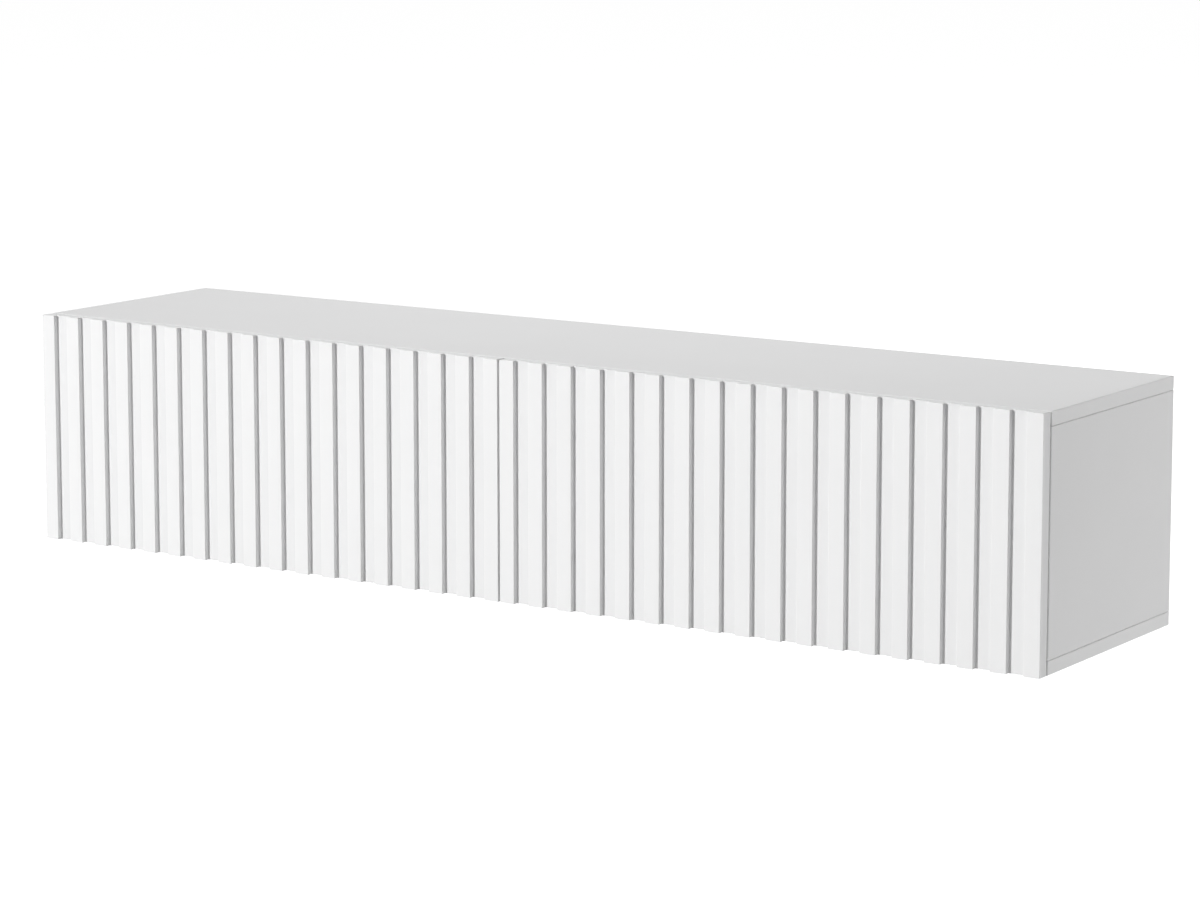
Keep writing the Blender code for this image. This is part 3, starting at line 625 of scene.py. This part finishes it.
for word in SIDES:
    ribbed_front(word)

# %% [markdown]
# ## Softened edges on the fittings
#
# Real castings and pressed plates have slightly rounded edges, which catch the light.
# The frame's meshes are loose triangles with knife edges. A copy of each fitting has its
# points merged and its flat faces joined, and a Bevel modifier then rounds the edges by
# a fraction of a millimetre. Where two bevels meet, a sliver with no width can be left,
# which a Weld modifier clears. The copy stands for the node, in the same place.

# %% Softened copies
SOFT_SLOTS = ("zinc", "steel", "grey_plastic", "white_plastic")
MERGE_DISTANCE = 0.000002
FLAT_ANGLE = math.radians(0.5)
EDGE_ROUNDING = 0.00018
EDGE_ROUNDING_STEPS = 2
SLIVER_WIDTH = 0.0000005


def softened_copy(name):
    """A copy of a node with rounded edges, which stands for it on the same body."""
    cad_node = frame["nodes"][name]
    build = bmesh.new()
    build.from_mesh(cad_node.data)
    bmesh.ops.remove_doubles(build, verts=build.verts, dist=MERGE_DISTANCE)
    bmesh.ops.dissolve_limit(build, angle_limit=FLAT_ANGLE, verts=build.verts, edges=build.edges)
    data = mesh_from(f"{name}_soft", build)
    data.materials.append(cad_node.material_slots[0].material)
    shade(data)
    copy = new_object(f"{name}_soft", data)
    rounding = copy.modifiers.new("soft_edges", "BEVEL")
    rounding.width = EDGE_ROUNDING
    rounding.segments = EDGE_ROUNDING_STEPS
    rounding.limit_method = "ANGLE"
    rounding.angle_limit = EDGE_ANGLE
    rounding.harden_normals = True
    rounding.use_clamp_overlap = True
    welding = copy.modifiers.new("no_slivers", "WELD")
    welding.merge_threshold = SLIVER_WIDTH
    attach(copy, cad_node["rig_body"])
    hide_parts(name)


soft_names = [name for name in sorted(frame["nodes"]) if node_slots[name] in SOFT_SLOTS]
for name in soft_names:
    softened_copy(name)
print("softened", len(soft_names), "fittings")

# %% [markdown]
# ## One screw head
#
# The fittings are held by pan-head screws with a cross recess. One head is modelled
# well, with a radius of 1, and then repeated at its real size. The profile is turned
# round an axis, and a tapered cross is cut from the top with a Boolean.

# %% Screw head
HEAD_PROFILE = ((1.0, -0.04), (1.0, 0.10), (0.97, 0.22), (0.88, 0.34), (0.70, 0.44), (0.42, 0.50))
HEAD_CROWN = 0.52
HEAD_SIDES = 24


def turn_profile(profile, crown, sides):
    """A closed, domed disc: rings from a list of (radius, height), and a point on top."""
    build = bmesh.new()
    angles = [step * math.tau / sides for step in range(sides)]
    rings = []
    for radius, height in profile:
        rings.append([build.verts.new((radius * math.cos(angle), radius * math.sin(angle), height))
                      for angle in angles])
    for lower, upper in zip(rings, rings[1:]):
        for step in range(sides):
            after = (step + 1) % sides
            build.faces.new((lower[step], lower[after], upper[after], upper[step]))
    top = build.verts.new((0, 0, crown))
    for step in range(sides):
        build.faces.new((rings[-1][step], rings[-1][(step + 1) % sides], top))
    build.faces.new(list(reversed(rings[0])))
    return build


def pattern_object(name, build, material):
    """An object that isn't shown itself, to be repeated or to cut with."""
    data = mesh_from(name, build)
    data.materials.append(material)
    shade(data)
    made = new_object(name, data)
    made.hide_render = True
    return made


turned_head = turn_profile(HEAD_PROFILE, HEAD_CROWN, HEAD_SIDES)
screw_head = pattern_object("screw_head_pattern", turned_head, screw_steel)
print("the head without its recess has", len(screw_head.data.polygons), "faces")

# %% Cross recess
CROSS_REACH = 0.52
CROSS_HALF_WIDTH = 0.13
CROSS_DEPTH = 0.34
CROSS_FOOT_SHARE = 0.55
CROSS_MOUTH_SHARE = 1.25
CROSS_OVERRUN = 0.2


def cross_corners(near, far):
    """The twelve corners of a plus sign, in order."""
    return ((far, -near), (far, near), (near, near), (near, far), (-near, far), (-near, near),
            (-far, near), (-far, -near), (-near, -near), (-near, -far), (near, -far), (near, -near))


def cross_cutter():
    """A plus sign whose arms get shorter towards its foot."""
    build = bmesh.new()
    levels = ((HEAD_CROWN - CROSS_DEPTH, CROSS_FOOT_SHARE),
              (HEAD_CROWN + CROSS_OVERRUN, CROSS_MOUTH_SHARE))
    rings = []
    for height, share in levels:
        corners = cross_corners(CROSS_HALF_WIDTH, CROSS_REACH * share)
        rings.append([build.verts.new((x, y, height)) for x, y in corners])
    foot, mouth = rings
    for step in range(len(foot)):
        after = (step + 1) % len(foot)
        build.faces.new((foot[step], foot[after], mouth[after], mouth[step]))
    build.faces.new(list(reversed(foot)))
    build.faces.new(mouth)
    return build


cross = pattern_object("cross_recess", cross_cutter(), screw_steel)
subtract(screw_head, cross)
screw_head.data = plain_mesh(screw_head)
screw_head.modifiers.clear()
shade(screw_head.data)
bpy.data.objects.remove(cross)
print("screw head has", len(screw_head.data.polygons), "faces")

# %% [markdown]
# ## Repeating a fastener
#
# The places of the screws are points, and each point knows which way its screw faces
# and how large it is. A Geometry Nodes tree puts the head on every point, lines it up,
# gives each one its own turn, and makes the copies real. Doing it by hand would mean
# placing forty heads. The tree has named inputs, so it serves the caps too.

# %% The fastener tree
def fastener_tree():
    sockets = (("Points", "Geometry"), ("Pattern", "Object"), ("Finish", "Material"), ("Seed", "Int"))
    tree, given, result = start_tree("fasteners_on_points", sockets)
    pattern = add_node(tree, "GeometryNodeObjectInfo", {"Object": given["Pattern"]})
    facing = add_node(tree, "GeometryNodeInputNamedAttribute", {"Name": "facing"},
                      data_type="FLOAT_VECTOR")
    size = add_node(tree, "GeometryNodeInputNamedAttribute", {"Name": "size"}, data_type="FLOAT")
    way = facing.outputs["Attribute"]
    lined_up = add_node(tree, "FunctionNodeAlignRotationToVector", {"Vector": way}, axis="Z")
    chance = add_node(tree, "FunctionNodeRandomValue", {"Seed": given["Seed"]}, data_type="FLOAT")
    around = maths(tree, "MULTIPLY", chance.outputs["Value"], math.tau)
    turn = add_node(tree, "FunctionNodeAxisAngleToRotation", {"Angle": around})
    turned = add_node(tree, "FunctionNodeRotateRotation",
                      {"Rotation": lined_up.outputs["Rotation"], "Rotate By": turn.outputs["Rotation"]},
                      rotation_space="LOCAL")
    placed = add_node(tree, "GeometryNodeInstanceOnPoints",
                      {"Points": given["Points"], "Instance": pattern.outputs["Geometry"],
                       "Rotation": turned.outputs["Rotation"], "Scale": size.outputs["Attribute"]})
    end_tree(tree, placed.outputs["Instances"], given["Finish"], result)
    return tree


fastener_nodes = fastener_tree()
print("the tree for fasteners has", len(fastener_nodes.nodes), "nodes")

# %% A piece made by the tree
def fasten(name, body, spots, pattern, finish, seed):
    """spots is a list of (place, facing, radius); the result is one mesh on one body."""
    data = bpy.data.meshes.new(name)
    data.from_pydata([tuple(place) for place, _, _ in spots], [], [])
    facing = data.attributes.new("facing", "FLOAT_VECTOR", "POINT")
    facing.data.foreach_set("vector", [part for _, way, _ in spots for part in way])
    size = data.attributes.new("size", "FLOAT", "POINT")
    size.data.foreach_set("value", [radius for _, _, radius in spots])
    points = new_object(f"{name}_points", data)
    grow(points, fastener_nodes, {"Pattern": pattern, "Finish": finish, "Seed": seed})
    mesh = plain_mesh(points)
    mesh.name = name
    bpy.data.objects.remove(points)
    made = new_object(name, mesh)
    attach(made, body)
    print(name, "has", len(spots), "fasteners and", len(mesh.polygons), "faces")


print("ready to put fasteners on points")

# %% [markdown]
# ## Where the screws are
#
# A screw belongs in the hole of the fitting that it holds. The frame tells where each
# fitting is and how large, through the lowest and highest corner of its box. Most holes
# come in pairs, at the same share of the fitting's length from its middle. Every screw
# faces out of the surface it is driven into.

# %% Places of the screws on the hinges and latches
UP = Vector((0, 0, 1))
DOWN = Vector((0, 0, -1))
TO_WALL = Vector((0, 1, 0))
TO_FRONT = Vector((0, -1, 0))
INWARD = {"left": Vector((1, 0, 0)), "right": Vector((-1, 0, 0))}
SMALL_HEAD = 0.0031
MIDDLE_HEAD = 0.0034
SCREW_SPREAD_SHARE = 0.34
FLANGE_SCREW_DROP = 0.008
LATCH_EAR_SETBACK = 0.018
LATCH_EAR_THICKNESS = 0.0025

screws = {"carcass": [], "left_flap": [], "right_flap": []}


def add_screw(body, x, y, z, facing, radius):
    """Notes a screw head that sits at a place on a body and faces a way."""
    screws[body].append((Vector((x, y, z)), facing, radius))


def pair(low, high, share=SCREW_SPREAD_SHARE):
    """Two places between low and high, a share of the length on either side of the middle."""
    return [(low + high) / 2 + side * share * (high - low) for side in (-1, 1)]


def hinge_screws(word, place):
    """One screw on the arm, two on its plate and two on the flange of the housing."""
    stem = f"{word}_flap_{place}_hinge"
    low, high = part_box(f"{stem}_plate")
    middle = (low + high) / 2
    arm_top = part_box(f"{stem}_arm")[1].z
    add_screw("carcass", middle.x, middle.y, arm_top, UP, SMALL_HEAD)
    for x in pair(low.x, high.x):
        add_screw("carcass", x, middle.y, high.z, UP, MIDDLE_HEAD)
    low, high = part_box(f"{stem}_housing")
    for x in pair(low.x, high.x):
        add_screw(f"{word}_flap", x, high.y, high.z - FLANGE_SCREW_DROP, TO_WALL, MIDDLE_HEAD)


def latch_screws(word):
    """One screw through each ear of the housing, up into the top panel."""
    low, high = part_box(f"{word}_latch_housing")
    y = low.y + LATCH_EAR_SETBACK
    for x in pair(low.x, high.x):
        add_screw("carcass", x, y, high.z - LATCH_EAR_THICKNESS, DOWN, SMALL_HEAD)


for word in SIDES:
    for place in HINGE_PLACES:
        hinge_screws(word, place)
    latch_screws(word)
print("hinge and latch screws:", {body: len(found) for body, found in screws.items()})

# %% Places of the screws on the stays and hangers
STAY_PLATE = 0.0025
FOOT_THICKNESS = 0.002
FOOT_SCREW_IN = 0.00675
FOOT_SPREAD_SHARE = 0.39
HANGER_SCREW_SETBACKS = (0.009, 0.049)
HANGER_SCREW_RISE = 0.0075
HANGER_ADJUSTER_RISES = (0.011, 0.030)


def outer_x(word, low, high):
    """X of the face that a fitting turns to the side panel."""
    return high.x if word == "right" else low.x


def inner_x(word, low, high):
    """X of the face that a fitting turns to the middle of the cabinet."""
    return low.x if word == "right" else high.x


def stay_screws(word):
    """Two screws on the plate at the side panel, and two on the bracket's foot."""
    low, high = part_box(f"{word}_stay_side_plate")
    x = outer_x(word, low, high) + INWARD[word].x * STAY_PLATE
    for y in pair(low.y, high.y):
        add_screw("carcass", x, y, (low.z + high.z) / 2, INWARD[word], SMALL_HEAD)
    low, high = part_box(f"{word}_stay_flap_bracket")
    x = inner_x(word, low, high) - INWARD[word].x * FOOT_SCREW_IN
    for z in pair(low.z, high.z, FOOT_SPREAD_SHARE):
        add_screw(f"{word}_flap", x, low.y + FOOT_THICKNESS, z, TO_WALL, SMALL_HEAD)


def hanger_screws(word):
    """Two screws fix the housing to the side panel, and two in front adjust the hook."""
    low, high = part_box(f"{word}_hanger_housing")
    x = inner_x(word, low, high)
    for setback in HANGER_SCREW_SETBACKS:
        add_screw("carcass", x, low.y + setback, low.z + HANGER_SCREW_RISE, INWARD[word], SMALL_HEAD)
    for rise in HANGER_ADJUSTER_RISES:
        add_screw("carcass", (low.x + high.x) / 2, low.y, low.z + rise, TO_FRONT, MIDDLE_HEAD)


for word in SIDES:
    stay_screws(word)
    hanger_screws(word)
print("with stay and hanger screws:", {body: len(found) for body, found in screws.items()})

# %% [markdown]
# ## Caps over the cam fittings
#
# The boards are drawn together by cam fittings, which are turned tight from inside. A
# thin domed cap covers each one. The caps stand in two rows on every upright board, a
# short way from its ends, and the rear row keeps clear of the hangers. The same tree
# repeats them: only the pattern and the finish differ.

# %% Caps
CAP_RADIUS = 0.0085
CAP_PROFILE = ((0.93, -0.03), (1.0, 0.0), (0.98, 0.05), (0.86, 0.085), (0.60, 0.11), (0.30, 0.125))
CAP_CROWN = 0.13
CAP_SIDES = 24
CAP_ROWS = (0.037, 0.201)
CAP_FROM_END = 0.034
CAP_SEED = 3


def cap_places(board, facing):
    """Four caps on the face of a board that looks the given way."""
    low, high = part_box(board)
    x = high.x if facing.x > 0 else low.x
    return [(Vector((x, low.y + row, z)), facing, CAP_RADIUS)
            for row in CAP_ROWS for z in (low.z + CAP_FROM_END, high.z - CAP_FROM_END)]


turned_cap = turn_profile(CAP_PROFILE, CAP_CROWN, CAP_SIDES)
cap = pattern_object("cam_cap_pattern", turned_cap, white_plastic)
caps = cap_places("left_side_panel", INWARD["left"]) + cap_places("right_side_panel", INWARD["right"])
caps += cap_places("centre_partition", INWARD["left"])
fasten("cam_caps", "carcass", caps, cap, white_plastic, CAP_SEED)
bpy.data.objects.remove(cap)

# %% [markdown]
# ## Driving the screws
#
# The screws are joined into one mesh for each body, so that they move with the flap that
# they are in. More meshes would bring nothing, because no screw moves by itself.

# %% Screws
SCREW_SEED = 11

for body, found in screws.items():
    fasten(f"{body}_screws", body, found, screw_head, screw_steel, SCREW_SEED)
bpy.data.objects.remove(screw_head)

# %% [markdown]
# ## The light
#
# The main lamp stands well off in front, to the left and above, so that it draws a
# narrow and fairly crisp shadow beside each rib. A faint lamp far to the right fills the
# ribs' right faces, and three more light what the first can't reach: the right side, the
# top and the back. The World adds a little pale light from all round, which fills the
# shadows. The camera, reflections and glass see it as pure white, while the light it
# sheds on the cabinet is weaker, so that white paint keeps its shape. The Light Path
# node tells the two apart.

# %% Lamps
CABINET_MIDDLE = Vector((0, 0, 0.14))
LAMPS = {
    "key_lamp": {"place": (-3.16, -8.40, 3.30), "size": 1.2, "power": 650},
    "side_lamp": {"place": (3.60, 1.30, 0.20), "size": 1.2, "power": 35},
    "top_lamp": {"place": (-0.25, 1.20, 3.20), "size": 1.6, "power": 50},
    "fill_lamp": {"place": (9.00, -5.00, 0.60), "size": 2.0, "power": 40},
    "rear_lamp": {"place": (-0.40, 6.00, 0.14), "size": 1.6, "power": 110},
}


def soft_lamp(name, place, size, power):
    """A round area lamp that points at the cabinet and isn't itself in the picture."""
    data = bpy.data.lights.new(name, "AREA")
    data.shape = "DISK"
    data.size = size
    data.energy = power
    made = new_object(name, data)
    made.location = place
    made.rotation_euler = (CABINET_MIDDLE - made.location).to_track_quat("-Z", "Y").to_euler()
    made.visible_camera = False


for name, lamp in LAMPS.items():
    soft_lamp(name, **lamp)
print(len(LAMPS), "lamps placed")

# %% Room
ROOM_LIGHT = 0.06
WHITE = (1, 1, 1, 1)


def looked_at(tree):
    """A number that is 1 for what is seen directly, in a reflection or through glass."""
    path = add_node(tree, "ShaderNodeLightPath").outputs
    mirrored = maths(tree, "MAXIMUM", path["Is Glossy Ray"], path["Is Transmission Ray"])
    return maths(tree, "MAXIMUM", path["Is Camera Ray"], mirrored)


world = bpy.data.worlds.new("pale_room")
world.use_nodes = True
bpy.context.scene.world = world
shed = world.node_tree.nodes["Background"]
shed.inputs["Color"].default_value = WHITE
shed.inputs["Strength"].default_value = ROOM_LIGHT
seen = add_node(world, "ShaderNodeBackground", {"Color": WHITE, "Strength": 1.0})
either = add_node(world, "ShaderNodeMixShader",
                  {0: looked_at(world), 1: shed.outputs[0], 2: seen.outputs[0]})
link(world, either.outputs[0], world.node_tree.nodes["World Output"].inputs["Surface"])
bpy.context.scene.view_settings.view_transform = "Standard"
print("room light at", ROOM_LIGHT)

# %% [markdown]
# ## The floor
#
# The cabinet hangs on a wall, so the floor is some way below it. The floor is a large
# pale sheet. A part of its white is added only where it is looked at, which lets it meet
# the white World without a line and still take the cabinet's soft shadow. Its lower face
# is clear, so that the cabinet's underside can be looked at from below the floor.

# %% Floor finish
FLOOR_COLOUR = (0.80, 0.80, 0.80, 1)
FLOOR_LIFT = 0.94


def floor_paint(name):
    made = bpy.data.materials.new(name)
    made.use_nodes = True
    made.node_tree.nodes.remove(made.node_tree.nodes["Principled BSDF"])
    matt = add_node(made, "ShaderNodeBsdfDiffuse", {"Color": FLOOR_COLOUR})
    lift = maths(made, "MULTIPLY", looked_at(made), FLOOR_LIFT)
    glow = add_node(made, "ShaderNodeEmission", {"Strength": lift})
    both = add_node(made, "ShaderNodeAddShader", {0: matt.outputs[0], 1: glow.outputs[0]})
    below = add_node(made, "ShaderNodeNewGeometry").outputs["Backfacing"]
    clear = add_node(made, "ShaderNodeBsdfTransparent")
    sheet = add_node(made, "ShaderNodeMixShader", {0: below, 1: both.outputs[0], 2: clear.outputs[0]})
    link(made, sheet.outputs[0], made.node_tree.nodes["Material Output"].inputs["Surface"])
    return made


studio_white = floor_paint("studio_floor_white")
print("floor paint made")

# %% Floor
FLOOR_DROP = 0.45
FLOOR_HALF = 25.0

build = bmesh.new()
corners = [(x * FLOOR_HALF, y * FLOOR_HALF, -FLOOR_DROP) for x, y in ((-1, -1), (1, -1), (1, 1), (-1, 1))]
build.faces.new([build.verts.new(corner) for corner in corners])
floor = new_object("studio_floor", mesh_from("studio_floor", build))
floor.data.materials.append(studio_white)
print("floor laid", FLOOR_DROP, "m below the cabinet")
